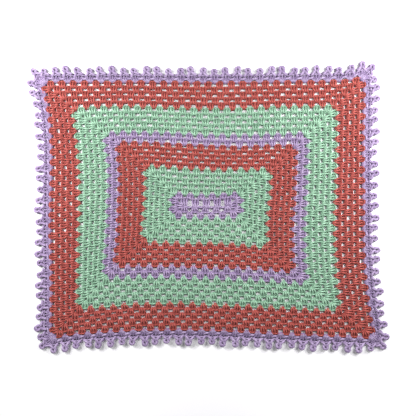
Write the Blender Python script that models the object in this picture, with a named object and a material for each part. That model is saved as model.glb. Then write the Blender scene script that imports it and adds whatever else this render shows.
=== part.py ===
"""A granny rectangle blanket, laid out flat, with an edging of shells and picots.

The body is worked in 24 rounds from a short foundation chain. Every round is a row of clusters of
three trebles, each cluster worked into a gap of the round before, with two clusters in each of the
four corner gaps. So each side of the blanket gains one cluster a round. The body is one sheet, cut
through at its larger gaps, and the edging is a narrow ring parted from it by a hair's breadth.

Metres, +Z up, the blanket's underside at Z 0 and the middle of its box at X 0, Y 0.
"""

import math
from collections import namedtuple

import bpy

MM = 0.001
THICKNESS = 5.0 * MM
ROUNDS = 24
FIRST_TOP_CLUSTERS = 5  # clusters along the top of round 1, whose short sides have one each
PARTING = 0.5 * MM  # from the body to the edging, measured outwards

SIDES = ("top", "right", "bottom", "left")  # clockwise, as seen from above

# The corner gaps of some rounds, in mm from the middle. The blanket lies a little skew and drawn
# in, as hand work does, and the rounds between these rows are spaced evenly.
Corners = namedtuple("Corners", "ring left_top right_top right_bottom left_bottom")
CORNER_GAPS = (
    Corners(0, (-52, 3), (41, 3), (41, 3), (-52, 3)),
    Corners(1, (-63, 16), (52, 17), (50, -3), (-63, -3)),
    Corners(2, (-74, 27), (64, 28), (65, -14), (-75, -14)),
    Corners(7, (-130, 84), (125, 77), (118, -77), (-136, -64)),
    Corners(12, (-190, 134), (179, 127), (175, -129), (-193, -118)),
    Corners(14, (-214, 152), (202, 152), (202, -154), (-216, -142)),
    Corners(19, (-279, 204), (262, 210), (271, -207), (-271, -205)),
    Corners(24, (-343, 260), (319, 270), (340, -266), (-324, -267)),
)

# How far each side of a round is drawn in from the straight line between its corners, in mm, at a
# quarter, a half and three quarters of its length, going clockwise. The last two numbers are how
# much more it is drawn in beside the corner where it starts and the one where it ends.
Drawn = namedtuple("Drawn", "ring side quarter half three_quarters start end")
BESIDE_CORNER = 0.07  # how far from the corner that is, as a share of the side
DRAWN_IN = (
    Drawn(1, "top", 5, 6, 5, 0, 0),
    Drawn(1, "right", 0, 0, 0, 0, 0),
    Drawn(1, "bottom", -1, -2, -1, 0, 0),
    Drawn(1, "left", 0, 0, 0, 0, 0),
    Drawn(7, "top", 3.7, 4.9, 3.8, 0, 0),
    Drawn(7, "right", 0.4, 2.3, 3.0, 0, 0),
    Drawn(7, "bottom", 2.7, 2.7, 0, 0, 0),
    Drawn(7, "left", 2.0, 3.1, 3.5, 0, 0),
    Drawn(14, "top", 0, 4.5, 5.3, 0, 0),
    Drawn(14, "right", 1.6, 4.9, 7.1, 0, 0),
    Drawn(14, "bottom", 6.5, 6.8, 7.4, 0, 0),
    Drawn(14, "left", 5.3, 8.4, 8.6, 0, 0),
    Drawn(19, "top", -1.5, 4.7, 2.6, 0.7, 1.6),
    Drawn(19, "right", 3.5, 9.5, 10.2, 0, 1.7),
    Drawn(19, "bottom", 4.3, 10.2, 11.4, -1.3, -1.4),
    Drawn(19, "left", 4.5, 9.6, 9.7, 1.4, 0),
    Drawn(24, "top", 3.1, 7.4, 6.7, 1.6, 6.0),
    Drawn(24, "right", 7.2, 11.8, 13.5, -1.5, 0),
    Drawn(24, "bottom", 8.1, 16.6, 15.7, 1.2, 3.7),
    Drawn(24, "left", 5.0, 7.4, 14.0, -2.0, 1.7),
)

# The size of the gaps between clusters, along the round and across it, in mm. The first row is the
# foundation's own gaps, which are the widest. Only every second gap of every second round after
# that is cut, because a net this even has over 1300 of them.
Gaps = namedtuple("Gaps", "last_round along across")
GAP_SIZES = (
    Gaps(1, 7.6, 6.8),
    Gaps(2, 8.0, 4.6),
    Gaps(7, 6.8, 4.3),
    Gaps(12, 8.6, 4.5),
    Gaps(14, 7.2, 4.4),
    Gaps(19, 6.9, 4.3),
    Gaps(24, 9.4, 4.8),
)
CUT_STEP = 2  # rounds from one cut round to the next, and gaps from one cut gap to the next

# The outer round's crenellated edge: clusters stand above the gaps that the shells are worked in.
TIP_RING = 24.5
NOTCH_RING = 24.05
TIP_HALF_WIDTH = 0.28  # as a share of a cluster's pitch

# One shell of the edging with its picot: half widths and distances out from its gap, in mm.
Outline = namedtuple("Outline", "half_width out")
PICOT = (
    Outline(5.6, 21.5),
    Outline(7.3, 27.5),
    Outline(4.6, 34.0),
)
PICOT_TOP = 36.0
VALLEY = 20.0  # how far out the dip between two shells lies
CORNER_FAN = (5, 47, 89)  # degrees from one side's outward direction to the next one's
CORNER_REACH = (0.95, 1.12, 0.95)  # the middle shell of a corner is the longest
LEAN = 2.6 * MM  # how far a picot may lean along the edge
REACH_CHANGE = 1.3 * MM

YARN_COLOURS = {"body": (0.58, 0.13, 0.11, 1.0), "edging": (0.44, 0.34, 0.62, 1.0)}
YARN_ROUGHNESS = 0.9


def between(table, ring):
    """The two rows of a table that a ring lies between, and how far it is from the first."""
    rings = [row.ring for row in table]
    i = max(n for n in range(len(rings) - 1) if n == 0 or rings[n] <= ring)
    return table[i], table[i + 1], (ring - rings[i]) / (rings[i + 1] - rings[i])


def corner(ring, number):
    """The corner gap of a ring where side number starts, in metres."""
    inner, outer, share = between(CORNER_GAPS, ring)
    a, b = inner[1 + number % 4], outer[1 + number % 4]
    return tuple((p + (q - p) * share) * MM for p, q in zip(a, b))


def drawn_in(ring, side, t):
    """How far a side is drawn in at t: three sine waves, and a pull beside each of its corners."""
    rows = [row for row in DRAWN_IN if row.side == side]
    inner, outer, share = between(rows, max(ring, rows[0].ring))
    early, middle, late, *pulls = (p + (q - p) * share for p, q in zip(inner[2:], outer[2:]))
    half_sum = (early + late) / 2 / math.sin(math.pi / 4)
    waves = ((half_sum + middle) / 2, (early - late) / 2, (half_sum - middle) / 2)
    drawn = sum(w * math.sin((n + 1) * math.pi * t) for n, w in enumerate(waves))
    for pull, away in zip(pulls, (t / BESIDE_CORNER, (1 - t) / BESIDE_CORNER)):
        drawn += pull * away * math.exp(1 - away)
    return MM * drawn


def outward(ring, number):
    """The outward unit vector of a side, square to the line between its corners."""
    (ax, ay), (bx, by) = corner(ring, number), corner(ring, number + 1)
    length = math.hypot(bx - ax, by - ay)
    if length == 0:  # the ends of the foundation chain
        return ((0, 1), (1, 0), (0, -1), (-1, 0))[number]
    return (ay - by) / length, (bx - ax) / length


def place(ring, number, t):
    """The point on a side of a ring, t from 0 to 1 clockwise, in metres."""
    (ax, ay), (bx, by) = corner(ring, number), corner(ring, number + 1)
    nx, ny = outward(ring, number)
    inward = drawn_in(ring, SIDES[number], t)
    return ax + (bx - ax) * t - nx * inward, ay + (by - ay) * t - ny * inward


def clusters(ring, number):
    """How many clusters a side of a round has."""
    return ring + (FIRST_TOP_CLUSTERS - 1 if number % 2 == 0 else 0)


def edge_outline(push):
    """The crenellated edge of the outermost round, pushed outwards by a share of a ring."""
    points = []
    for number in range(4):
        count = clusters(ROUNDS, number)
        for j in range(count):
            points.append(place(NOTCH_RING + push, number, j / count))
            for step in (-TIP_HALF_WIDTH, TIP_HALF_WIDTH):
                points.append(place(TIP_RING + push, number, (j + 0.5 + step) / count))
    return points


def gap_outline(ring, number, t):
    """A lens with six corners round a gap, lying along its round."""
    size = next(row for row in GAP_SIZES if ring <= row.last_round)
    x, y = place(ring, number, t)
    nx, ny = outward(ring, number)
    along, across = size.along / 2 * MM, size.across / 2 * MM
    lens = [(1, 0), (0.5, 1), (-0.5, 1), (-1, 0), (-0.5, -1), (0.5, -1)]
    return [(x + u * along * ny + v * across * nx, y - u * along * nx + v * across * ny)
            for u, v in lens]


def cut_gaps():
    """The outline of every gap that is cut through."""
    found = [gap_outline(1, number, j / clusters(1, number))
             for number in range(4) for j in range(1, clusters(1, number))]
    for ring in range(CUT_STEP, ROUNDS, CUT_STEP):
        first = 1 if ring // CUT_STEP % 2 else CUT_STEP  # this lines the cuts up in columns
        for number in range(4):
            count = clusters(ring, number)
            found += [gap_outline(ring, number, j / count) for j in range(first, count, CUT_STEP)]
    return found


def shells():
    """Each shell's gap, outward direction, reach and lean, clockwise from the top left corner."""
    found = []
    for number in range(4):
        before, after = (math.atan2(*reversed(outward(ROUNDS, n % 4))) for n in (number - 1, number))
        turn = (after - before + math.pi) % (2 * math.pi) - math.pi
        for share, reach in zip(CORNER_FAN, CORNER_REACH):
            found.append((corner(ROUNDS, number), before + turn * share / 90, reach))
        count = clusters(ROUNDS, number)
        found += [(place(ROUNDS, number, j / count), after, 1.0) for j in range(1, count)]
    return found


def edging_outline():
    """The outer edge of the edging: a dip, then a picot's oval loop, for every shell."""
    points, dips, ovals = [], [], []
    for i, ((x, y), angle, reach) in enumerate(shells()):
        nx, ny = math.cos(angle), math.sin(angle)
        lean = LEAN * math.sin(2.4 * i)
        more = REACH_CHANGE * math.sin(1.7 * i + 1)
        rising = [(-row.half_width, row.out) for row in PICOT]
        falling = [(row.half_width, row.out) for row in reversed(PICOT)]
        oval = []
        for half_width, out in rising + [(0, PICOT_TOP)] + falling:
            share = (out - VALLEY) / (PICOT_TOP - VALLEY)
            u = half_width * MM + lean * share
            v = out * reach * MM + more * share
            oval.append((x + nx * v + ny * u, y + ny * v - nx * u))
        ovals.append(oval)
        dips.append((x + nx * VALLEY * MM, y + ny * VALLEY * MM))
    for i, oval in enumerate(ovals):
        points.append(tuple((a + b) / 2 for a, b in zip(dips[i - 1], dips[i])))
        points += oval
    return points


def box_middle(points):
    """The middle of the box round some points."""
    xs, ys = zip(*points)
    return (min(xs) + max(xs)) / 2, (min(ys) + max(ys)) / 2


def yarn(name):
    """A plain matt material in a yarn's colour."""
    material = bpy.data.materials.new(name + "_yarn")
    material.use_nodes = True
    shader = material.node_tree.nodes["Principled BSDF"]
    shader.inputs["Base Color"].default_value = YARN_COLOURS[name]
    shader.inputs["Roughness"].default_value = YARN_ROUGHNESS
    material.diffuse_color = YARN_COLOURS[name]
    return material


def flat_piece(name, outlines, material, collection):
    """A flat piece of the blanket's thickness, with the first outline round it and holes after."""
    curve = bpy.data.curves.new(name, "CURVE")
    curve.dimensions = "2D"
    curve.fill_mode = "BOTH"
    curve.extrude = THICKNESS / 2
    for outline in outlines:
        spline = curve.splines.new("POLY")
        spline.points.add(len(outline) - 1)
        for point, (x, y) in zip(spline.points, outline):
            point.co = (x, y, 0, 1)
        spline.use_cyclic_u = True
    curve.materials.append(material)
    piece = bpy.data.objects.new(name, curve)
    collection.objects.link(piece)
    return piece


def main():
    """Makes the body and its edging, with the middle of the whole blanket's box at the origin."""
    for old in list(bpy.data.objects):
        bpy.data.objects.remove(old)
    collection = bpy.data.collections.new("granny_rectangle_blanket")
    bpy.context.scene.collection.children.link(collection)

    round_height = math.dist(place(ROUNDS - 1, 0, 0.5), place(ROUNDS, 0, 0.5))
    border = edging_outline()
    body = flat_piece("blanket_body", [edge_outline(0)] + cut_gaps(), yarn("body"), collection)
    edging = flat_piece("picot_edging", [border, edge_outline(PARTING / round_height)],
                        yarn("edging"), collection)
    x, y = box_middle(border)
    for piece in (body, edging):
        piece.location = (-x, -y, THICKNESS / 2)


main()
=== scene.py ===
"""The looks of a crocheted granny blanket, with every treble, chain and picot laid as its own rope.

The plan of the rounds is the one that the solids are cut from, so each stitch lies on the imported
body and edging. Geometry Nodes copy one small rope per kind of stitch, twist it and bend it along
the path of each stitch, and a yarn finish for each colour dresses what they make.

Metres, +Z up, the floor and the blanket's underside at Z 0, outward from the middle of each side.
"""

import logging
import math
import random
from dataclasses import dataclass, field, replace
from enum import Enum
from typing import NamedTuple, Sequence, Union

import bmesh
import bpy
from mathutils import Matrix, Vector


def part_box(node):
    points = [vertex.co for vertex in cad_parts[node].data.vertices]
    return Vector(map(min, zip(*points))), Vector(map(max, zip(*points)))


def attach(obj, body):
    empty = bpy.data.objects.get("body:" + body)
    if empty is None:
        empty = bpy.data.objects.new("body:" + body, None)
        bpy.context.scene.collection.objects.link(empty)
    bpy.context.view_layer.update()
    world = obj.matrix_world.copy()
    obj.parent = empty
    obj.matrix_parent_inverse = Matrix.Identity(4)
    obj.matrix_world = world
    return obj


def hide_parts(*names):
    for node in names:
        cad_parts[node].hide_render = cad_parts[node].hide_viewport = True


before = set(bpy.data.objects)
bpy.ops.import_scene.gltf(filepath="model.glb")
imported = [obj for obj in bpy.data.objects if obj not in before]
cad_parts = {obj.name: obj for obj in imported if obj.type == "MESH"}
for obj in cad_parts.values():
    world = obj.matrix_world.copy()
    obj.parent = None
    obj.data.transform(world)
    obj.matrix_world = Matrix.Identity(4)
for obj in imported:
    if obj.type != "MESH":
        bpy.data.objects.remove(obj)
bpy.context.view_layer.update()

MM = 0.001
ROUNDS = 24
BODY_NODE = "blanket_body"
EDGING_NODE = "picot_edging"

log = logging.getLogger("granny_blanket")
Value = Union[float, int, str, tuple, bpy.types.NodeSocket, bpy.types.ID]


class Yarn(Enum):
    """The yarns, each with the name that its material is given."""

    CORAL = "coral_yarn"
    MINT = "mint_yarn"
    LAVENDER = "lavender_yarn"


class CornerRow(NamedTuple):
    """The four corner gaps of one round, in mm from the middle."""

    ring: float
    left_top: tuple
    right_top: tuple
    right_bottom: tuple
    left_bottom: tuple


class DrawnRow(NamedTuple):
    """How far one side of a round is drawn in, in mm, going clockwise.

    The last two numbers are how much more it is drawn in beside its first and last corner.
    """

    ring: float
    side: int
    quarter: float
    half: float
    three_quarters: float
    start: float
    end: float


class Shell(NamedTuple):
    """One shell of the edging: its gap, outward angle, reach, leans, curl upwards and extra."""

    gap: Vector
    angle: float
    reach: float
    lean: float
    side_lean: float
    curl: float
    more: float

    @property
    def out(self) -> Vector:
        """Gives the outward unit vector."""
        return Vector((math.cos(self.angle), math.sin(self.angle)))

    @property
    def along(self) -> Vector:
        """Gives the unit vector clockwise along the edge."""
        out = self.out
        return Vector((out.y, -out.x))


CORNER_GAPS = (
    CornerRow(0, (-52, 3), (41, 3), (41, 3), (-52, 3)),
    CornerRow(1, (-63, 16), (52, 17), (50, -3), (-63, -3)),
    CornerRow(2, (-74, 27), (64, 28), (65, -14), (-75, -14)),
    CornerRow(7, (-130, 84), (125, 77), (118, -77), (-136, -64)),
    CornerRow(12, (-190, 134), (179, 127), (175, -129), (-193, -118)),
    CornerRow(14, (-214, 152), (202, 152), (202, -154), (-216, -142)),
    CornerRow(19, (-279, 204), (262, 210), (271, -207), (-271, -205)),
    CornerRow(24, (-343, 260), (319, 270), (340, -266), (-324, -267)),
)
TOP, RIGHT, BOTTOM, LEFT = range(4)
DRAWN_IN = (
    DrawnRow(1, TOP, 5, 6, 5, 0, 0),
    DrawnRow(1, RIGHT, 0, 0, 0, 0, 0),
    DrawnRow(1, BOTTOM, -1, -2, -1, 0, 0),
    DrawnRow(1, LEFT, 0, 0, 0, 0, 0),
    DrawnRow(7, TOP, 3.7, 4.9, 3.8, 0, 0),
    DrawnRow(7, RIGHT, 0.4, 2.3, 3.0, 0, 0),
    DrawnRow(7, BOTTOM, 2.7, 2.7, 0, 0, 0),
    DrawnRow(7, LEFT, 2.0, 3.1, 3.5, 0, 0),
    DrawnRow(14, TOP, 0, 4.5, 5.3, 0, 0),
    DrawnRow(14, RIGHT, 1.6, 4.9, 7.1, 0, 0),
    DrawnRow(14, BOTTOM, 6.5, 6.8, 7.4, 0, 0),
    DrawnRow(14, LEFT, 5.3, 8.4, 8.6, 0, 0),
    DrawnRow(19, TOP, -1.5, 4.7, 2.6, 0.7, 1.6),
    DrawnRow(19, RIGHT, 3.5, 9.5, 10.2, 0, 1.7),
    DrawnRow(19, BOTTOM, 4.3, 10.2, 11.4, -1.3, -1.4),
    DrawnRow(19, LEFT, 4.5, 9.6, 9.7, 1.4, 0),
    DrawnRow(24, TOP, 3.1, 7.4, 6.7, 1.6, 6.0),
    DrawnRow(24, RIGHT, 7.2, 11.8, 13.5, -1.5, 0),
    DrawnRow(24, BOTTOM, 8.1, 16.6, 15.7, 1.2, 3.7),
    DrawnRow(24, LEFT, 5.0, 7.4, 14.0, -2.0, 1.7),
)


def between(table: Sequence, ring: float) -> tuple:
    """Finds the two rows of a table that a ring lies between.

    Args:
        table: rows that start with their ring, in order.
        ring: the ring to look for, which may lie past the ends.

    Returns:
        The row before, the row after, and how far the ring is from the first of them.
    """
    rings = [row.ring for row in table]
    i = max(n for n in range(len(rings) - 1) if n == 0 or rings[n] <= ring)
    return table[i], table[i + 1], (ring - rings[i]) / (rings[i + 1] - rings[i])


@dataclass
class BlanketPlan:
    """Where every gap of every round lies, as the solids have it, with a maker's unevenness."""

    first_top_clusters: int = 5
    beside_corner: float = 0.07
    uneven_along: float = 0.75 * MM
    uneven_across: float = 0.50 * MM
    seed: int = 11
    corner_fan: tuple = (5, 47, 89)
    corner_reach: tuple = (0.95, 1.12, 0.95)
    shell_lean: float = 2.6 * MM
    shell_change: float = 1.3 * MM
    side_leans: tuple = ((-5.0, 4.0), (-4.0, 0.0), (4.0, 0.0), (-6.0, 4.0))
    side_curls: tuple = (0.0, 0.3 * MM, 1.2 * MM, 0.3 * MM)
    picot_outline: tuple = ((5.6, 21.5), (7.3, 27.5), (4.6, 34.0))
    picot_top: float = 36.0
    valley: float = 20.0
    shift: Vector = field(default_factory=lambda: Vector((0, 0)))
    nudges: dict = field(default_factory=dict)

    def __post_init__(self) -> None:
        """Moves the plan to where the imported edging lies, and draws every gap's unevenness."""
        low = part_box(EDGING_NODE)[0]
        outline = self.edging_outline()
        self.shift = Vector((low[0] - min(p[0] for p in outline),
                             low[1] - min(p[1] for p in outline)))
        draw = random.Random(self.seed)
        for ring in range(ROUNDS + 1):
            for side in range(4):
                for j in range(max(1, self.clusters(ring, side))):
                    self.nudges[ring, side, j] = (draw.gauss(0, self.uneven_along),
                                                  draw.gauss(0, self.uneven_across))

    def corner(self, ring: float, side: int) -> Vector:
        """Gives a corner gap.

        Args:
            ring: the ring, which may lie between two rounds.
            side: the side that starts at the corner.

        Returns:
            The corner gap's place.
        """
        inner, outer, share = between(CORNER_GAPS, ring)
        a, b = Vector(inner[1 + side % 4]), Vector(outer[1 + side % 4])
        return a.lerp(b, share) * MM + self.shift

    def drawn_in(self, ring: float, side: int, t: float) -> float:
        """Gives how far a side is drawn in: three sine waves, and a pull beside each corner.

        Args:
            ring: the ring, which may lie between two rounds.
            side: the side.
            t: how far along the side, from 0 to 1 clockwise.

        Returns:
            The distance inwards from the line between the side's corners, in metres.
        """
        rows = [row for row in DRAWN_IN if row.side == side]
        inner, outer, share = between(rows, max(ring, rows[0].ring))
        early, middle, late, *pulls = (p + (q - p) * share for p, q in zip(inner[2:], outer[2:]))
        half_sum = (early + late) / 2 / math.sin(math.pi / 4)
        waves = ((half_sum + middle) / 2, (early - late) / 2, (half_sum - middle) / 2)
        drawn = sum(w * math.sin((n + 1) * math.pi * t) for n, w in enumerate(waves))
        for pull, away in zip(pulls, (t / self.beside_corner, (1 - t) / self.beside_corner)):
            drawn += pull * away * math.exp(1 - away)
        return MM * drawn

    def outward(self, ring: float, side: int) -> Vector:
        """Gives the outward direction of a side, square to the line between its corners.

        Args:
            ring: the ring, which may lie between two rounds.
            side: the side.

        Returns:
            The unit vector.
        """
        run = self.corner(ring, side + 1) - self.corner(ring, side)
        if run.length < 1e-6:
            return Vector(((0, 1), (1, 0), (0, -1), (-1, 0))[side])
        return Vector((-run.y, run.x)).normalized()

    def place(self, ring: float, side: int, t: float) -> Vector:
        """Gives the point on a side of a ring, t from 0 to 1 clockwise."""
        on_line = self.corner(ring, side).lerp(self.corner(ring, side + 1), t)
        return on_line - self.outward(ring, side) * self.drawn_in(ring, side, t)

    def clusters(self, ring: int, side: int) -> int:
        """Gives how many clusters a side of a round has."""
        return ring + (self.first_top_clusters - 1 if side % 2 == 0 else 0)

    def round_height(self, ring: float, side: int) -> float:
        """Gives how far apart two rounds are at the middle of a side."""
        ring = min(max(ring, 1), ROUNDS - 0.5)
        return (self.place(ring + 0.5, side, 0.5) - self.place(ring - 0.5, side, 0.5)).length

    def nudge(self, ring: int, side: int, j: int) -> Vector:
        """Gives how far a gap lies from its even place, with the corner gaps shared.

        Args:
            ring: the round.
            side: the side.
            j: the gap's number along the side.

        Returns:
            The difference, as a vector.
        """
        if j >= self.clusters(ring, side):
            side, j = (side + 1) % 4, 0
        along, across = self.nudges[ring, side, j]
        out = self.outward(ring, side)
        return out * across + Vector((out.y, -out.x)) * along

    def gap(self, ring: int, side: int, j: int) -> Vector:
        """Gives the middle of a gap, in which a cluster of the next round is worked.

        Args:
            ring: the round.
            side: the side.
            j: the gap's number along the side.

        Returns:
            The gap's place.
        """
        count = self.clusters(ring, side)
        t = j / count if count else 0.5
        return self.place(ring, side, t) + self.nudge(ring, side, j)

    def gap_out(self, ring: int, side: int, j: int) -> Vector:
        """Gives the outward direction at a gap, which is diagonal at a corner.

        Args:
            ring: the round.
            side: the side.
            j: the gap's number along the side.

        Returns:
            The unit vector.
        """
        out, count = self.outward(ring, side), self.clusters(ring, side)
        if j == 0:
            out = out + self.outward(ring, (side - 1) % 4)
        elif j == count:
            out = out + self.outward(ring, (side + 1) % 4)
        return out.normalized() if out.length > 1e-6 else self.outward(ring, side)

    def shells(self) -> list[Shell]:
        """Lists the edging's shells clockwise from the top left corner, three at each corner.

        Returns:
            The shells.
        """
        found = []
        for side in range(4):
            before, after = (math.atan2(*reversed(self.outward(ROUNDS, n % 4)))
                             for n in (side - 1, side))
            turn = (after - before + math.pi) % (2 * math.pi) - math.pi
            for share, reach in zip(self.corner_fan, self.corner_reach):
                found.append((self.corner(ROUNDS, side), before + turn * share / 90, reach, 0.0, 0.0))
            count = self.clusters(ROUNDS, side)
            start, end = self.side_leans[side]
            found += [(self.place(ROUNDS, side, j / count), after, 1.0,
                       (start + (end - start) * j / count) * MM, self.side_curls[side])
                      for j in range(1, count)]
        return [Shell(gap, angle, reach, self.shell_lean * math.sin(2.4 * i), side_lean, curl,
                      self.shell_change * math.sin(1.7 * i + 1))
                for i, (gap, angle, reach, side_lean, curl) in enumerate(found)]

    def edging_outline(self) -> list[tuple]:
        """Lists the outer edge of the edging: a dip, then a picot's oval, for every shell.

        Returns:
            The edge's points in order.
        """
        points, dips, ovals = [], [], []
        for shell in self.shells():
            out, along = shell.out, shell.along
            rising = [(-half, reach) for half, reach in self.picot_outline]
            oval = []
            falling = [(-half, reach) for half, reach in reversed(rising)]
            for half, reach in rising + [(0, self.picot_top)] + falling:
                share = (reach - self.valley) / (self.picot_top - self.valley)
                oval.append(shell.gap + along * (half * MM + shell.lean * share)
                            + out * (reach * shell.reach * MM + shell.more * share))
            ovals.append(oval)
            dips.append(shell.gap + out * self.valley * MM)
        for i, oval in enumerate(ovals):
            points += [(dips[i - 1] + dips[i]) / 2] + oval
        return [tuple(point) for point in points]


@dataclass
class Wiring:
    """Adds nodes to a tree and links each to what feeds it."""

    tree: bpy.types.NodeTree

    def node(self, kind: str, feeds: dict | None = None, **settings: Value) -> bpy.types.Node:
        """Adds one node.

        Args:
            kind: the node's type name.
            feeds: an input's name or number, and the socket or constant that feeds it.
            **settings: the node's own options.

        Returns:
            The new node.
        """
        made = self.tree.nodes.new(kind)
        for name, value in settings.items():
            setattr(made, name, value)
        for key, value in (feeds or {}).items():
            if isinstance(value, bpy.types.NodeSocket):
                self.tree.links.new(value, made.inputs[key])
            else:
                made.inputs[key].default_value = value
        return made

    def math(self, operation: str, *values: Value) -> bpy.types.NodeSocket:
        """Adds a Math node and gives its result."""
        return self.node("ShaderNodeMath", dict(enumerate(values)), operation=operation).outputs[0]

    def vector(self, operation: str, *values: Value) -> bpy.types.NodeSocket:
        """Adds a Vector Math node and gives its result."""
        made = self.node("ShaderNodeVectorMath", dict(enumerate(values)), operation=operation)
        return made.outputs["Vector"]

    def scaled(self, vector: Value, factor: Value) -> bpy.types.NodeSocket:
        """Adds a Vector Math node that scales a vector by a factor."""
        feeds = {"Vector": vector, "Scale": factor}
        return self.node("ShaderNodeVectorMath", feeds, operation="SCALE").outputs["Vector"]

    def blend(self, a: Value, b: Value, share: Value) -> bpy.types.NodeSocket:
        """Adds a Mix node that goes from one vector to another, past both too."""
        feeds = {0: share, 4: a, 5: b}
        return self.node("ShaderNodeMix", feeds, data_type="VECTOR", clamp_factor=False).outputs[1]

    def stored(self, name: str, data_type: str = "FLOAT_VECTOR") -> bpy.types.NodeSocket:
        """Adds a Named Attribute node and gives its value."""
        made = self.node("GeometryNodeInputNamedAttribute", {"Name": name}, data_type=data_type)
        return made.outputs[0]


@dataclass
class Rope:
    """A short rope of two strands, from which one kind of stitch is laid.

    Its path is given in mm: x along the round, y outward and z up, with y from 0 to its length
    between a stitch's foot and head. Its section has two lobes, stretched between a side axis and
    an up axis. Its twist from its start turn on, in degrees, its squash, which is its thickness
    against its width, and how much less painted shade its low sides get, are left to Geometry Nodes.
    """

    name: str
    path: Sequence[tuple]
    length: float
    sections: int
    strand: float
    twist: float
    start: float = 0.0
    squash: float = 0.8
    # How much less painted shade the rope's low sides get.
    less_painted_shade: float = 0.0
    upright: bool = True
    girths: Sequence[tuple] = ((0, 1), (1, 1))
    lobes: tuple = ((1.9, 0.0), (1.3, 1.55), (0.0, 1.15), (-1.3, 1.55),
                    (-1.9, 0.0), (-1.3, -1.55), (0.0, -1.15), (1.3, -1.55))
    cap: tuple = ((0, 1, 7), (1, 2, 6, 7), (2, 3, 5, 6), (3, 4, 5))

    def centre(self, share: float) -> Vector:
        """Gives a point of the path, on a smooth curve through its points.

        Args:
            share: how far along the path, from 0 to 1.

        Returns:
            The point, in mm.
        """
        last = len(self.path) - 1
        at = share * last
        i = min(int(at), last - 1)
        f = at - i
        a, b, c, d = (Vector(self.path[min(max(n, 0), last)]) for n in range(i - 1, i + 3))
        return 0.5 * (2 * b + (c - a) * f + (2 * a - 5 * b + 4 * c - d) * f * f
                      + (3 * b - 3 * c + d - a) * f * f * f)

    def girth(self, share: float) -> float:
        """Gives how thick the rope is at a point of its path.

        Args:
            share: how far along the path, from 0 to 1.

        Returns:
            The thickness against the full one.
        """
        for (a, low), (b, high) in zip(self.girths, self.girths[1:]):
            if share <= b:
                return low + (high - low) * (share - a) / (b - a)
        return self.girths[-1][1]

    def build(self) -> bpy.types.Object:
        """Builds the untwisted rope with its axes, lobes, grooves and yarn coordinates.

        Returns:
            The rope's object, which is linked to the scene while stitches are laid from it.
        """
        count, sides = self.sections, len(self.lobes)
        rows: dict[str, list] = {"centre": [], "side": [], "up": [], "lobe": []}
        along, groove, lengths, run, last = [], [], [], 0.0, None
        step = 1e-3
        for share in (i / (count - 1) for i in range(count)):
            point = self.centre(share)
            ahead, behind = min(share + step, 1), max(share - step, 0)
            heading = (self.centre(ahead) - self.centre(behind)).normalized()
            if self.upright:
                side = Vector((1, 0, 0))
                up = side.cross(heading).normalized()
            else:
                up = Vector((0, 0, 1))
                side = heading.cross(up).normalized()
            run += (point - last).length if last is not None else 0.0
            last = point
            lengths.append(run)
            size = self.strand * self.girth(share)
            for a, b in self.lobes:
                rows["centre"].append(point * MM)
                rows["side"].append(side)
                rows["up"].append(up)
                rows["lobe"].append(Vector((a * size, b * size, 0)) * MM)
                along.append(share)
                # Groove marks the notch between the two strands, where the yarn paints shade.
                groove.append(1.0 if a == 0 else 0.0)
        points = [c + s * l.x + u * l.y for c, s, u, l in
                  zip(rows["centre"], rows["side"], rows["up"], rows["lobe"])]
        faces = [(i * sides + n, i * sides + (n + 1) % sides,
                  (i + 1) * sides + (n + 1) % sides, (i + 1) * sides + n)
                 for i in range(count - 1) for n in range(sides)]
        faces += [tuple(base + n for n in face) for base in (0, (count - 1) * sides)
                  for face in self.cap]
        mesh = bpy.data.meshes.new(self.name)
        mesh.from_pydata(points, [], faces)
        for key, vectors in rows.items():
            mesh.attributes.new(key, "FLOAT_VECTOR", "POINT").data.foreach_set(
                "vector", [x for v in vectors for x in v])
        mesh.attributes.new("along", "FLOAT", "POINT").data.foreach_set("value", along)
        mesh.attributes.new("groove", "FLOAT", "POINT").data.foreach_set("value", groove)
        self.unwrap(mesh, lengths)
        whole = bmesh.new()
        whole.from_mesh(mesh)
        bmesh.ops.recalc_face_normals(whole, faces=whole.faces)
        whole.to_mesh(mesh)
        whole.free()
        mesh.polygons.foreach_set("use_smooth", [True] * len(mesh.polygons))
        made = bpy.data.objects.new(self.name, mesh)
        bpy.context.scene.collection.objects.link(made)
        return made

    def unwrap(self, mesh: bpy.types.Mesh, lengths: Sequence[float]) -> None:
        """Gives each strand its yarn coordinates: u round the strand, and v along it.

        Args:
            mesh: the rope's mesh.
            lengths: how far along the rope each section lies, in mm.
        """
        around = mesh.uv_layers.new(name="UVMap").data
        sides, pitch = len(self.lobes), 2 * self.strand
        for face in mesh.polygons:
            corners = [mesh.loops[n].vertex_index % sides for n in face.loop_indices]
            wraps = max(corners) - min(corners) > 1
            first = sides - 1 if wraps else min(corners)
            start = 0 if first < 2 else 2 if first < 6 else 6
            for loop in face.loop_indices:
                section, n = divmod(mesh.loops[loop].vertex_index, sides)
                u = ((sides if wraps and n == 0 else n) - start) / 4
                around[loop].uv = (u + 0.5 if first < 2 else u, lengths[section] / pitch)


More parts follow.
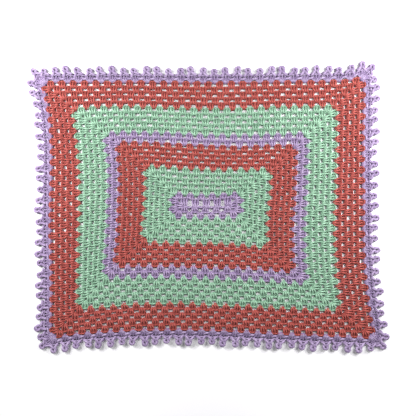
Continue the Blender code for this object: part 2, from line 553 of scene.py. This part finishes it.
@dataclass
class StitchPaths:
    """The paths that copies of a rope follow, each from its foot past its knee to its head."""

    foot: list = field(default_factory=list)
    knee: list = field(default_factory=list)
    head: list = field(default_factory=list)
    width: list = field(default_factory=list)

    def add(self, foot: Vector, knee: Vector, head: Vector, width: float = 1.0) -> None:
        """Adds one stitch, whose three points may lie in the plane or have a height.

        Args:
            foot: where it starts.
            knee: what it bends towards.
            head: where it ends.
            width: its width against the rope's.
        """
        for row, point in ((self.foot, foot), (self.knee, knee), (self.head, head)):
            row.append(Vector((point[0], point[1], point[2] if len(point) > 2 else 0.0)))
        self.width.append(width)

    def add_through(self, foot: Vector, middle: Vector, head: Vector, width: float = 1.0) -> None:
        """Adds one stitch whose path goes through its middle point."""
        self.add(foot, 2 * middle - (foot + head) / 2, head, width)

    def points(self) -> bpy.types.Object:
        """Builds the object whose points carry the paths.

        Returns:
            The object, which is linked to the scene while stitches are laid from it.
        """
        mesh = bpy.data.meshes.new("stitch_points")
        mesh.from_pydata(self.foot, [], [])
        for name in ("foot", "knee", "head"):
            mesh.attributes.new(name, "FLOAT_VECTOR", "POINT").data.foreach_set(
                "vector", [x for v in getattr(self, name) for x in v])
        mesh.attributes.new("width", "FLOAT", "POINT").data.foreach_set("value", self.width)
        made = bpy.data.objects.new("stitch_points", mesh)
        bpy.context.scene.collection.objects.link(made)
        return made


class StitchLayer:
    """The Geometry Nodes tree that twists a rope, bends it along each path and dresses it."""

    kept = ("shade", "groove", "rise", "UVMap", "position", "material_index", "sharp_face")
    swell_share = 0.35

    def __init__(self) -> None:
        """Builds the tree, with a named input for each size."""
        self.tree = bpy.data.node_groups.new("laid_stitches", "GeometryNodeTree")
        face = self.tree.interface
        face.new_socket(name="Paths", in_out="INPUT", socket_type="NodeSocketGeometry")
        for name, kind in (("Stitch", "NodeSocketObject"), ("Yarn", "NodeSocketMaterial"),
                           ("Length", "NodeSocketFloat"), ("Radius", "NodeSocketFloat"),
                           ("Twist", "NodeSocketFloat"),
                           ("Start Turn", "NodeSocketFloat"), ("Squash", "NodeSocketFloat"),
                           ("Rise Offset", "NodeSocketFloat"),
                           ("Unevenness", "NodeSocketFloat"), ("Seed", "NodeSocketInt")):
            face.new_socket(name=name, in_out="INPUT", socket_type=kind)
        face.new_socket(name="Stitches", in_out="OUTPUT", socket_type="NodeSocketGeometry")
        self.wire()

    def wire(self) -> None:
        """Wires the tree: chance, copies, twist, bend, and the yarn."""
        w = Wiring(self.tree)
        given = w.node("NodeGroupInput").outputs
        shape = given["Paths"]
        low = w.math("MULTIPLY", given["Unevenness"], -1.0)
        for number, name in enumerate(("turn", "swell", "shade")):
            seed = w.math("ADD", given["Seed"], float(number))
            bounds = {2: -1.0, 3: 1.0} if name == "shade" else {2: low, 3: given["Unevenness"]}
            drawn = w.node("FunctionNodeRandomValue", {**bounds, 8: seed}, data_type="FLOAT")
            shape = w.node("GeometryNodeStoreNamedAttribute",
                           {"Geometry": shape, "Name": name, "Value": drawn.outputs[1]},
                           data_type="FLOAT", domain="POINT").outputs[0]
        unit = w.node("GeometryNodeObjectInfo", {"Object": given["Stitch"]}).outputs["Geometry"]
        copies = w.node("GeometryNodeInstanceOnPoints", {"Points": shape, "Instance": unit}).outputs[0]
        real = w.node("GeometryNodeRealizeInstances", {"Geometry": copies}).outputs[0]

        along = w.stored("along", "FLOAT")
        turned = w.math("ADD", w.math("MULTIPLY_ADD", along, given["Twist"], given["Start Turn"]),
                        w.stored("turn", "FLOAT"))
        lobe = w.node("ShaderNodeVectorRotate", {"Vector": w.stored("lobe"), "Angle": turned},
                      rotation_type="Z_AXIS").outputs[0]
        swell = w.math("MULTIPLY_ADD", w.stored("swell", "FLOAT"), self.swell_share,
                       w.stored("width", "FLOAT"))
        lobe = w.scaled(lobe, swell)
        part = w.node("ShaderNodeSeparateXYZ", {0: lobe}).outputs
        # Rise is how high each point sits on its strand's section, raised by the rope's offset; the yarn
        # paints shade on the low sides from it.
        rise = w.math("ADD", w.math("DIVIDE", part[1], given["Radius"]), given["Rise Offset"])
        real = w.node("GeometryNodeStoreNamedAttribute",
                      {"Geometry": real, "Name": "rise", "Value": rise},
                      data_type="FLOAT", domain="POINT").outputs[0]
        flat = w.math("MULTIPLY", part[1], given["Squash"])
        local = w.vector("ADD", w.scaled(w.stored("side"), part[0]), w.scaled(w.stored("up"), flat))
        local = w.vector("ADD", w.stored("centre"), local)
        x, y, z = w.node("ShaderNodeSeparateXYZ", {0: local}).outputs
        share = w.math("DIVIDE", y, given["Length"])
        foot, knee, head = (w.stored(name) for name in ("foot", "knee", "head"))
        early, late = w.blend(foot, knee, share), w.blend(knee, head, share)
        heading = w.vector("SUBTRACT", late, early)
        across = w.vector("NORMALIZE", w.vector("CROSS_PRODUCT", heading, (0.0, 0.0, 1.0)))
        lifted = w.node("ShaderNodeCombineXYZ", {"Z": z}).outputs[0]
        place = w.vector("ADD", w.blend(early, late, share), w.scaled(across, x))
        place = w.vector("ADD", place, lifted)
        moved = w.node("GeometryNodeSetPosition", {"Geometry": real, "Position": place}).outputs[0]
        dressed = w.node("GeometryNodeSetMaterial", {"Geometry": moved, "Material": given["Yarn"]})
        w.node("NodeGroupOutput", {"Stitches": dressed.outputs[0]})

    def lay(self, name: str, rope: Rope, paths: StitchPaths, finish: bpy.types.Material,
            uneven: float = 0.3, seed: int = 1) -> bpy.types.Object:
        """Lays a rope along every path and turns the result into a plain mesh.

        Args:
            name: the new piece's name.
            rope: the rope to copy.
            paths: where each copy goes.
            finish: the yarn's material.
            uneven: how much each copy's turn and width may differ.
            seed: what the differences are drawn from.

        Returns:
            The piece, a plain mesh at the origin.
        """
        source, unit = paths.points(), rope.build()
        modifier = source.modifiers.new("stitches", "NODES")
        modifier.node_group = self.tree
        values = {"Stitch": unit, "Yarn": finish, "Length": rope.length * MM,
                  "Radius": rope.strand * rope.lobes[0][0] * MM, "Twist": math.radians(rope.twist),
                  "Start Turn": math.radians(rope.start), "Squash": rope.squash,
                  "Rise Offset": rope.less_painted_shade, "Unevenness": uneven, "Seed": seed}
        for item in self.tree.interface.items_tree:
            if item.in_out == "INPUT" and item.name in values:
                modifier[item.identifier] = values[item.name]
        ready = source.evaluated_get(bpy.context.evaluated_depsgraph_get())
        mesh = bpy.data.meshes.new_from_object(ready)
        source.modifiers.clear()
        for spent in (source, unit):
            bpy.data.objects.remove(spent)
        mesh.name = name
        for attribute in [a.name for a in mesh.attributes if not a.name.startswith(".")]:
            if attribute not in self.kept and mesh.attributes[attribute].domain == "POINT":
                mesh.attributes.remove(mesh.attributes[attribute])
        piece = bpy.data.objects.new(name, mesh)
        bpy.context.scene.collection.objects.link(piece)
        log.info("%s: %d faces", name, len(mesh.polygons))
        return piece


class YarnShading:
    """The shader node group that every yarn shares: plies, fibres, unevenness, and painted shade in ply
    creases, strand notches and low sides.
    """

    plies = 3.0
    ply_slant = 0.75
    fibre_scale = 2400.0
    ageing_scale = 22.0
    fibre_height = 0.35
    roughness = 0.78
    roughness_change = 0.2
    # Painted shade on a strand's low sides fades out between these two rises.
    crevice_floor = -0.4
    crevice_top = 0.85

    def __init__(self) -> None:
        """Builds the group."""
        self.tree = bpy.data.node_groups.new("plied_yarn", "ShaderNodeTree")
        face = self.tree.interface
        for name, value in (("Ply Depth", 0.3), ("Fibre Depth", 0.3), ("Groove Depth", 0.5),
                            ("Crevice Depth", 0.8), ("Stitch Change", 0.14), ("Age Change", 0.2)):
            socket = face.new_socket(name=name, in_out="INPUT", socket_type="NodeSocketFloat")
            socket.default_value = value
        for name in ("Tone", "Height", "Roughness"):
            face.new_socket(name=name, in_out="OUTPUT", socket_type="NodeSocketFloat")
        w = Wiring(self.tree)
        given = w.node("NodeGroupInput").outputs
        yarn = w.node("ShaderNodeUVMap", uv_map="UVMap").outputs[0]
        u, v, _ = w.node("ShaderNodeSeparateXYZ", {0: yarn}).outputs
        phase = w.math("MULTIPLY_ADD", u, self.plies, w.math("MULTIPLY", v, self.ply_slant))
        saw = w.math("MULTIPLY_ADD", w.math("FRACT", phase), 2.0, -1.0)
        ply = w.math("SQRT", w.math("SUBTRACT", 1.0, w.math("MULTIPLY", saw, saw)))
        spot = w.node("ShaderNodeTexCoord").outputs["Object"]
        fibres, ageing = (
            w.node("ShaderNodeTexNoise", {"Vector": spot, "Scale": scale, "Detail": 2.0}).outputs[0]
            for scale in (self.fibre_scale, self.ageing_scale))
        groove = w.node("ShaderNodeAttribute", attribute_name="groove").outputs["Fac"]
        shade = w.node("ShaderNodeAttribute", attribute_name="shade").outputs["Fac"]
        # Painted shade in the creases between the plies, darkest where two plies meet.
        tone_and_shade = w.math("MULTIPLY_ADD", w.math("SUBTRACT", ply, 1.0), given["Ply Depth"], 1.0)
        fibre = w.math("MULTIPLY_ADD", w.math("SUBTRACT", fibres, 0.5), given["Fibre Depth"], 1.0)
        age = w.math("MULTIPLY_ADD", w.math("SUBTRACT", ageing, 0.5), given["Age Change"], 1.0)
        # Painted shade in the notch between the rope's two strands.
        groove_darkening = w.math("MULTIPLY_ADD", w.math("MULTIPLY", groove, given["Groove Depth"]), -1.0, 1.0)
        # Painted shade on each strand's low sides, from how high the point sits on its section.
        rise = w.node("ShaderNodeAttribute", attribute_name="rise").outputs["Fac"]
        least = w.math("SUBTRACT", 1.0, given["Crevice Depth"])
        range_of = {0: rise, 1: self.crevice_floor, 2: self.crevice_top, 3: least, 4: 1.0}
        crevice_darkening = w.node("ShaderNodeMapRange", range_of, interpolation_type="SMOOTHSTEP").outputs[0]
        stitch = w.math("MULTIPLY_ADD", shade, given["Stitch Change"], 1.0)
        # These factors multiply painted shade, from ply creases, strand notches and low sides, with random
        # unevenness from fibres, age and stitch.
        for factor in (fibre, age, groove_darkening, crevice_darkening, stitch):
            tone_and_shade = w.math("MULTIPLY", tone_and_shade, factor)
        height = w.math("MULTIPLY_ADD", fibres, self.fibre_height, ply)
        rough = w.math("MULTIPLY_ADD", fibres, self.roughness_change, self.roughness)
        w.node("NodeGroupOutput", {"Tone": tone_and_shade, "Height": height, "Roughness": rough})


@dataclass(frozen=True)
class YarnFinish:
    """A worsted yarn in one colour, in linear RGB."""

    yarn: Yarn
    colour: tuple
    # The shadow colour is the dark end that painted shade and random unevenness mix towards.
    shadow: tuple
    # The first three numbers below set how strong the painted shade is in ply creases, in the notch
    # between strands and on the low sides.
    ply_shade: float = 0.30
    groove_shade: float = 0.6
    crevice_shade: float = 0.9
    bump: float = 0.8
    bump_depth: float = 0.35 * MM
    specular: float = 0.12
    sheen: float = 0.13
    sheen_roughness: float = 0.45

    def material(self, shading: YarnShading) -> bpy.types.Material:
        """Makes the finish.

        Args:
            shading: the group that the yarns share.

        Returns:
            The material, named for its yarn.
        """
        made = bpy.data.materials.new(self.yarn.value)
        made.use_nodes = True
        made.diffuse_color = (*self.colour, 1)
        w = Wiring(made.node_tree)
        shader = made.node_tree.nodes["Principled BSDF"]
        # The yarn group gives fibre texture, random unevenness and painted shade.
        fibre = w.node("ShaderNodeGroup", node_tree=shading.tree)
        fibre.inputs["Ply Depth"].default_value = self.ply_shade
        fibre.inputs["Groove Depth"].default_value = self.groove_shade
        fibre.inputs["Crevice Depth"].default_value = self.crevice_shade
        # Mixes from the painted shade colour to the yarn's own colour by the group's factor.
        tones = {0: fibre.outputs["Tone"], 6: (*self.shadow, 1), 7: (*self.colour, 1)}
        mixed = w.node("ShaderNodeMix", tones, data_type="RGBA", clamp_factor=False)
        bump = w.node("ShaderNodeBump", {"Height": fibre.outputs["Height"], "Strength": self.bump,
                                         "Distance": self.bump_depth})
        w.tree.links.new(mixed.outputs[2], shader.inputs["Base Color"])
        w.tree.links.new(fibre.outputs["Roughness"], shader.inputs["Roughness"])
        w.tree.links.new(bump.outputs[0], shader.inputs["Normal"])
        shader.inputs["Specular IOR Level"].default_value = self.specular
        shader.inputs["Sheen Weight"].default_value = self.sheen
        shader.inputs["Sheen Roughness"].default_value = self.sheen_roughness
        shader.inputs["Sheen Tint"].default_value = (*(0.5 + 0.5 * c for c in self.colour), 1)
        return made


def carry(piece: bpy.types.Object, node: str) -> None:
    """Makes a piece ride on the blanket and stand for its CAD node.

    Args:
        piece: the piece.
        node: the CAD node that it stands for.
    """
    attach(piece, "root")
    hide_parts(node)


@dataclass(frozen=True)
class Stitches:
    """The ropes that the blanket's stitches are laid from."""

    treble: Rope
    chain: Rope
    back: Rope
    shell: Rope
    ridge: Rope
    picot: Rope


class Cluster(NamedTuple):
    """One cluster of three trebles: its foot, its waist and its head, and the way it leans."""

    foot: Vector
    waist: Vector
    head: Vector
    heading: Vector
    across: Vector


@dataclass
class ColourBand:
    """Some rounds of one yarn: clusters of three trebles, chains over them and strands behind."""

    name: str
    yarn: Yarn
    first: int
    last: int
    foot_spread: float = 2.5 * MM
    foot_rise: float = 0.9 * MM
    waist_spread: float = 6.6 * MM
    head_spread: float = 5.8 * MM
    head_drop: float = 0.7 * MM
    foot_ring: float = 0.25
    head_ring: float = 0.64
    chain_ring: float = 0.60
    chain_end: float = 0.42
    back_share: float = 0.70
    back_reach: float = 6.4 * MM
    corner_part: float = 1.5 * MM
    corner_pull: float = 2.2 * MM
    overlap: float = 0.5

    def clusters(self, plan: BlanketPlan) -> list[Cluster]:
        """Lists the band's clusters, each from the gap below it to the chain above it.

        Args:
            plan: where the gaps are.

        Returns:
            The clusters.
        """
        found = []
        for ring in range(self.first, self.last + 1):
            for side in range(4):
                count = plan.clusters(ring, side)
                out, height = plan.outward(ring, side), plan.round_height(ring, side)
                run = Vector((out.y, -out.x))
                for j in range(count):
                    foot = plan.gap(ring - 1, side, j) + out * height * self.foot_ring
                    end = (j == 0) - (j == count - 1) if count > 1 else 0
                    foot = foot + run * self.corner_part * end - out * self.corner_pull * abs(end)
                    nudge = (plan.nudge(ring, side, j) + plan.nudge(ring, side, j + 1)) / 2
                    waist = plan.place(ring, side, (j + 0.5) / count) + nudge
                    head = waist + out * height * self.head_ring
                    heading = (head - foot).normalized()
                    across = Vector((heading.y, -heading.x))
                    found.append(Cluster(foot, waist, head, heading, across))
        return found

    def trebles(self, plan: BlanketPlan) -> StitchPaths:
        """Lists the path of every treble, three to a cluster.

        Args:
            plan: where the gaps are.

        Returns:
            The paths.
        """
        paths = StitchPaths()
        for cluster in self.clusters(plan):
            for p in (-1, 0, 1):
                lift = cluster.heading * abs(p) * self.foot_rise
                drop = cluster.heading * abs(p) * self.head_drop
                paths.add(cluster.foot + cluster.across * p * self.foot_spread + lift,
                          cluster.waist + cluster.across * p * self.waist_spread,
                          cluster.head + cluster.across * p * self.head_spread - drop)
        return paths

    def backs(self, plan: BlanketPlan) -> StitchPaths:
        """Lists the strand that crosses behind each cluster, below its chain.

        Args:
            plan: where the gaps are.

        Returns:
            The paths.
        """
        paths = StitchPaths()
        for cluster in self.clusters(plan):
            middle = cluster.foot.lerp(cluster.head, self.back_share)
            reach = cluster.across * self.back_reach
            paths.add(middle - reach, middle, middle + reach)
        return paths

    def chains(self, plan: BlanketPlan) -> StitchPaths:
        """Lists the path of the chain over every cluster, from gap to gap.

        Args:
            plan: where the gaps are.

        Returns:
            The paths.
        """
        paths = StitchPaths()
        for ring in range(self.first, self.last + 1):
            for side in range(4):
                count = plan.clusters(ring, side)
                height, out = plan.round_height(ring, side), plan.outward(ring, side)
                for j in range(count):
                    a, b = (plan.gap(ring, side, n) + plan.gap_out(ring, side, n) * height * self.chain_end
                            for n in (j, j + 1))
                    nudge = (plan.nudge(ring, side, j) + plan.nudge(ring, side, j + 1)) / 2
                    middle = plan.place(ring, side, (j + 0.5) / count) + out * height * self.chain_ring
                    paths.add_through(a, middle + nudge, b)
        return paths

    def area(self, plan: BlanketPlan) -> tuple[float, float]:
        """Gives the band's mean length round and its depth, in metres.

        Args:
            plan: where the gaps are.

        Returns:
            The length and the depth.
        """
        middle = (self.first + self.last) / 2
        rings = self.last - self.first + 1 + self.overlap
        depth = sum(plan.round_height(middle, side) for side in range(4)) / 4 * rings
        length = sum((plan.corner(middle, side + 1) - plan.corner(middle, side)).length
                     for side in range(4))
        return length, depth

    def build(self, plan: BlanketPlan, layer: StitchLayer, stitches: Stitches,
              finish: bpy.types.Material) -> None:
        """Builds and dresses the band.

        Args:
            plan: where the gaps are.
            layer: what lays the stitches.
            stitches: the ropes to lay.
            finish: the yarn.
        """
        trebles, chains, backs = (
            layer.lay(self.name + name, rope, paths, finish, seed=seed)
            for name, rope, paths, seed in (
                ("_trebles", stitches.treble, self.trebles(plan), self.first),
                ("_chains", stitches.chain, self.chains(plan), self.last),
                ("_backs", stitches.back, self.backs(plan), self.last + 50)))
        for piece in (trebles, chains, backs):
            carry(piece, BODY_NODE)
        self.area(plan)


@dataclass
class Foundation:
    """The short chain that round 1 is worked into, which sags a little between its clusters."""

    name: str = "foundation"
    yarn: Yarn = Yarn.LAVENDER
    sag: float = 1.6 * MM
    overlap: float = 0.1
    thickness: float = 1.2
    lift: float = 0.4 * MM

    def build(self, plan: BlanketPlan, layer: StitchLayer, stitches: Stitches,
              finish: bpy.types.Material) -> None:
        """Builds and dresses the chain, as lengths from cluster to cluster.

        Args:
            plan: where the gaps are.
            layer: what lays the stitches.
            stitches: the ropes to lay.
            finish: the yarn.
        """
        start, end = plan.corner(0, TOP), plan.corner(0, RIGHT)
        lengths = plan.clusters(0, TOP)
        paths = StitchPaths()
        for i in range(lengths):
            a, b = (start.lerp(end, (i + n) / lengths).to_3d() + Vector((0, 0, self.lift))
                    for n in (-self.overlap, 1 + self.overlap))
            middle = (a + b) / 2 - plan.outward(0, TOP).to_3d() * self.sag
            paths.add_through(a, middle, b, self.thickness)
        piece = layer.lay(self.name, stitches.chain, paths, finish, seed=9)
        carry(piece, BODY_NODE)


@dataclass
class PicotEdging:
    """The round of shells in lavender yarn, the chain over them, and a picot on each."""

    name: str = "edging"
    yarn: Yarn = Yarn.LAVENDER
    foot_out: float = 2.4 * MM
    corner_foot_out: float = -1.6 * MM
    foot_spread: float = 1.9 * MM
    foot_lift: float = 0.5 * MM
    waist_out: float = 10.4 * MM
    waist_spread: float = 2.4 * MM
    heads: tuple = ((-11.2, 13.4), (-6.2, 17.0), (0.0, 18.4), (6.2, 17.0), (11.2, 13.4))
    treble_width: float = 0.84
    ridge_out: float = 20.4 * MM
    valley_out: float = 17.6 * MM
    picot_foot: float = 17.6 * MM
    picot_head: float = 33.4 * MM
    picot_lean: float = 0.9
    picot_change: float = 1.6
    neck_out: float = 22.6 * MM
    neck_reach: float = 6.0 * MM
    eye_out: float = 29.4 * MM
    eye_reach: float = 3.6 * MM
    dip_out: float = 12.6 * MM
    dip_reach: float = 6.0 * MM
    dip_width: float = 1.5
    dip_lift: float = 0.8 * MM

    def trebles(self, shells: list[Shell]) -> StitchPaths:
        """Lists the five trebles of every shell.

        Args:
            shells: the edging's shells.

        Returns:
            The paths.
        """
        paths = StitchPaths()
        for i, shell in enumerate(shells):
            out, along = shell.out, shell.along
            shared = shell.gap in (shells[i - 1].gap, shells[(i + 1) % len(shells)].gap)
            start = self.corner_foot_out if shared else self.foot_out
            for p, (aside, reach) in zip((-2, -1, 0, 1, 2), self.heads):
                lift = out * abs(p) * self.foot_lift
                foot = shell.gap + out * start + lift + along * p * self.foot_spread
                waist = out * self.waist_out * shell.reach + along * p * self.waist_spread
                head = (out * reach * shell.reach + along * aside) * MM
                paths.add(foot, shell.gap + waist, shell.gap + head, self.treble_width)
        return paths

    def ridge(self, shells: list[Shell]) -> StitchPaths:
        """Lists the chain over every shell, from dip to dip.

        Args:
            shells: the edging's shells.

        Returns:
            The paths.
        """
        paths = StitchPaths()
        dips = [shell.gap + shell.out * self.valley_out * shell.reach for shell in shells]
        for i, shell in enumerate(shells):
            before = (dips[i - 1] + dips[i]) / 2
            after = (dips[i] + dips[(i + 1) % len(dips)]) / 2
            paths.add_through(before, shell.gap + shell.out * self.ridge_out * shell.reach, after)
        return paths

    def picots(self, shells: list[Shell]) -> StitchPaths:
        """Lists the loops, each leaning its own way.

        Args:
            shells: the edging's shells.

        Returns:
            The paths.
        """
        paths = StitchPaths()
        for shell in shells:
            out, along = shell.out, shell.along
            lean = shell.lean * self.picot_lean + shell.side_lean
            more = shell.more * self.picot_change
            foot = shell.gap + out * self.picot_foot * shell.reach
            head = shell.gap + out * (self.picot_head * shell.reach + more) + along * lean
            knee = ((foot + head) / 2).to_3d() + Vector((0, 0, shell.curl / 2))
            paths.add(foot, knee, head.to_3d() + Vector((0, 0, shell.curl)))
        return paths

    def backs(self, shells: list[Shell]) -> StitchPaths:
        """Lists the strands behind each loop's neck and eye and behind each dip between shells.

        Args:
            shells: the edging's shells.

        Returns:
            The paths.
        """
        paths = StitchPaths()
        for i, shell in enumerate(shells):
            out, along = shell.out, shell.along
            lean = shell.lean * self.picot_lean + shell.side_lean
            more = shell.more * self.picot_change
            for height, share, reach in ((self.neck_out, 0.3, self.neck_reach),
                                         (self.eye_out, 0.6, self.eye_reach)):
                middle = shell.gap + out * (height * shell.reach + more * share) + along * lean * share
                paths.add(middle - along * reach, middle, middle + along * reach)
            after = shells[(i + 1) % len(shells)]
            apart = after.gap - shell.gap
            if apart.length > 2 * self.dip_reach:
                dip = ((shell.gap + after.gap) / 2 + out * self.dip_out).to_3d()
                dip.z = self.dip_lift
                reach = apart.normalized().to_3d() * self.dip_reach
                paths.add(dip - reach, dip, dip + reach, self.dip_width)
        return paths

    def build(self, plan: BlanketPlan, layer: StitchLayer, stitches: Stitches,
              finish: bpy.types.Material) -> None:
        """Builds and dresses the edging.

        Args:
            plan: where the gaps are.
            layer: what lays the stitches.
            stitches: the ropes to lay.
            finish: the yarn.
        """
        shells = plan.shells()
        trebles, ridge, picots, backs = (
            layer.lay(self.name + name, rope, paths(shells), finish, seed=seed)
            for name, rope, paths, seed in (("_shells", stitches.shell, self.trebles, 31),
                                            ("_ridge", stitches.ridge, self.ridge, 32),
                                            ("_picots", stitches.picot, self.picots, 33),
                                            ("_backs", stitches.back, self.backs, 34)))
        for piece in (trebles, ridge, picots, backs):
            carry(piece, EDGING_NODE)


@dataclass
class Studio:
    """The pale floor, two soft lamps, two weak ones on the bare floor, and the camera above."""

    camera_height: float = 0.95
    view_width: float = 0.8736
    sensor: float = 36.0
    aim: tuple = (-1.7 * MM, 0.4 * MM)
    floor_reach: float = 3.0
    floor_colour: tuple = (0.97, 0.96, 0.985)
    lamp_place: tuple = (0.74, 0.34, 0.50)
    lamp_power: float = 13.4
    lamp_size: float = 0.5
    floor_lamp_place: tuple = (0.25, -0.70, 0.22)
    floor_lamp_target: tuple = (0.35, -0.62, 0.0)
    floor_lamp_power: float = 0.42
    floor_lamp_size: float = 0.3
    daylight: float = 0.14

    def floor(self) -> None:
        """Lays the floor under the blanket."""
        mesh = bpy.data.meshes.new("floor")
        reach = self.floor_reach
        corners = [(-reach, -reach, 0), (reach, -reach, 0), (reach, reach, 0), (-reach, reach, 0)]
        mesh.from_pydata(corners, [], [(0, 1, 2, 3)])
        made = bpy.data.objects.new("floor", mesh)
        finish = bpy.data.materials.new("white_paper")
        finish.use_nodes = True
        shader = finish.node_tree.nodes["Principled BSDF"]
        shader.inputs["Base Color"].default_value = (*self.floor_colour, 1)
        shader.inputs["Roughness"].default_value = 0.95
        shader.inputs["Specular IOR Level"].default_value = 0.1
        mesh.materials.append(finish)
        bpy.context.scene.collection.objects.link(made)

    def light(self, name: str, place: tuple, power: float, size: float,
              target: tuple = (0, 0, 0)) -> None:
        """Hangs one soft square light that faces the blanket, or another target.

        Args:
            name: the light's name.
            place: where it hangs.
            power: its power in watts.
            size: its side.
            target: what it faces.
        """
        lamp = bpy.data.lights.new(name, "AREA")
        lamp.energy, lamp.size = power, size
        made = bpy.data.objects.new(name, lamp)
        made.location = place
        facing = Vector(target) - Vector(place)
        made.rotation_euler = facing.to_track_quat("-Z", "Y").to_euler()
        bpy.context.scene.collection.objects.link(made)

    def build(self, plan: BlanketPlan) -> None:
        """Sets the floor, the lights, the world and the camera.

        Args:
            plan: whose middle the camera looks at.
        """
        self.floor()
        mirrored = (("left", -1), ("right", 1))
        for name, way in mirrored:
            x, y, z = self.lamp_place
            self.light(name + "_light", (way * x, y, z), self.lamp_power, self.lamp_size)
        for name, way in mirrored:
            place, target = ((way * x, y, z) for x, y, z in
                             (self.floor_lamp_place, self.floor_lamp_target))
            self.light(name + "_floor_light", place, self.floor_lamp_power, self.floor_lamp_size,
                       target)
        world = bpy.data.worlds.new("studio")
        world.use_nodes = True
        world.node_tree.nodes["Background"].inputs[0].default_value = (1, 1, 1, 1)
        world.node_tree.nodes["Background"].inputs[1].default_value = self.daylight
        bpy.context.scene.world = world
        bpy.context.scene.view_settings.view_transform = "Standard"
        camera = bpy.data.cameras.new("camera")
        camera.sensor_width = self.sensor
        camera.lens = self.sensor * self.camera_height / self.view_width
        made = bpy.data.objects.new("camera", camera)
        made.location = (self.aim[0] + plan.shift.x, self.aim[1] + plan.shift.y, self.camera_height)
        bpy.context.scene.collection.objects.link(made)
        bpy.context.scene.camera = made


PARTS = (
    Foundation(),
    ColourBand("first_round", Yarn.LAVENDER, 1, 1, foot_ring=0.12, chain_end=0.60),
    ColourBand("second_round", Yarn.LAVENDER, 2, 2, foot_ring=0.56, corner_pull=4.6 * MM),
    ColourBand("inner_mint", Yarn.MINT, 3, 7, waist_spread=6.7 * MM),
    ColourBand("inner_coral", Yarn.CORAL, 8, 12),
    ColourBand("ring_lavender", Yarn.LAVENDER, 13, 14),
    ColourBand("outer_mint", Yarn.MINT, 15, 19, waist_spread=6.7 * MM),
    ColourBand("outer_coral", Yarn.CORAL, 20, 24),
    PicotEdging(),
)
# Each yarn's own colour, then the dark colour that its painted shade and random unevenness mix towards.
FINISHES = (
    YarnFinish(Yarn.CORAL, (0.45, 0.105, 0.090), (0.095, 0.002, 0.002)),
    YarnFinish(Yarn.MINT, (0.33, 0.53, 0.385), (0.035, 0.125, 0.065)),
    YarnFinish(Yarn.LAVENDER, (0.40, 0.31, 0.48), (0.075, 0.026, 0.13)),
)
TREBLE = Rope("treble", ((0, 1.8, 1.6), (0, -0.2, 1.9), (0, 1.2, 3.0), (0, 5.5, 3.2), (0, 11.0, 2.9),
                         (0, 17.0, 2.4)), 17.0, 8, 1.45, twist=380, start=40, squash=0.65,
              girths=((0, 0.75), (0.3, 0.85), (0.57, 1.05), (0.77, 0.76), (1, 0.95)))
CHAIN = Rope("chain", ((0, 0, 2.1), (0, 6, 2.8), (0, 12, 3.0), (0, 18, 2.8), (0, 24, 2.1)),
             24.0, 10, 1.1, twist=540)
STITCHES = Stitches(
    treble=TREBLE,
    chain=CHAIN,
    shell=replace(TREBLE, name="shell_treble",
                  girths=((0, 0.45), (0.3, 0.55), (0.57, 0.92), (0.77, 0.80), (1, 0.95))),
    # The ridge chain's low sides get less painted shade.
    ridge=replace(CHAIN, name="ridge_chain", less_painted_shade=0.2),
    back=Rope("back", ((0, 0, 1.4), (0, 6, 1.4), (0, 12, 1.4)), 12.0, 4, 1.2, twist=120, squash=0.5),
    # The picot's low sides get less painted shade.
    picot=Rope("picot", ((-9.8, 0.6, 2.5), (-6.8, 3.3, 3.0), (-4.2, 6.3, 3.4), (-2.3, 9.2, 3.6),
                         (-4.4, 12.3, 3.7), (-3.6, 15.8, 3.7), (0, 18.0, 3.6), (3.6, 15.8, 3.7),
                         (4.4, 12.3, 3.7), (2.3, 9.2, 3.6), (4.2, 6.3, 3.4), (6.8, 3.3, 3.0),
                         (9.8, 0.6, 2.5)),
               16.4, 26, 1.64, twist=720, squash=0.72, less_painted_shade=0.35, upright=False,
               lobes=((1.9, 0), (1.4, 1.45), (0, 1.5), (-1.4, 1.45),
                      (-1.9, 0), (-1.4, -1.45), (0, -1.5), (1.4, -1.45))),
)


def main() -> None:
    """Builds the blanket part by part, then the studio."""
    logging.basicConfig(level=logging.INFO, format="%(message)s")
    plan = BlanketPlan()
    layer, shading = StitchLayer(), YarnShading()
    yarns = {finish.yarn: finish.material(shading) for finish in FINISHES}
    for part in PARTS:
        part.build(plan, layer, STITCHES, yarns[part.yarn])
    Studio().build(plan)


if __name__ == "__main__":
    main()
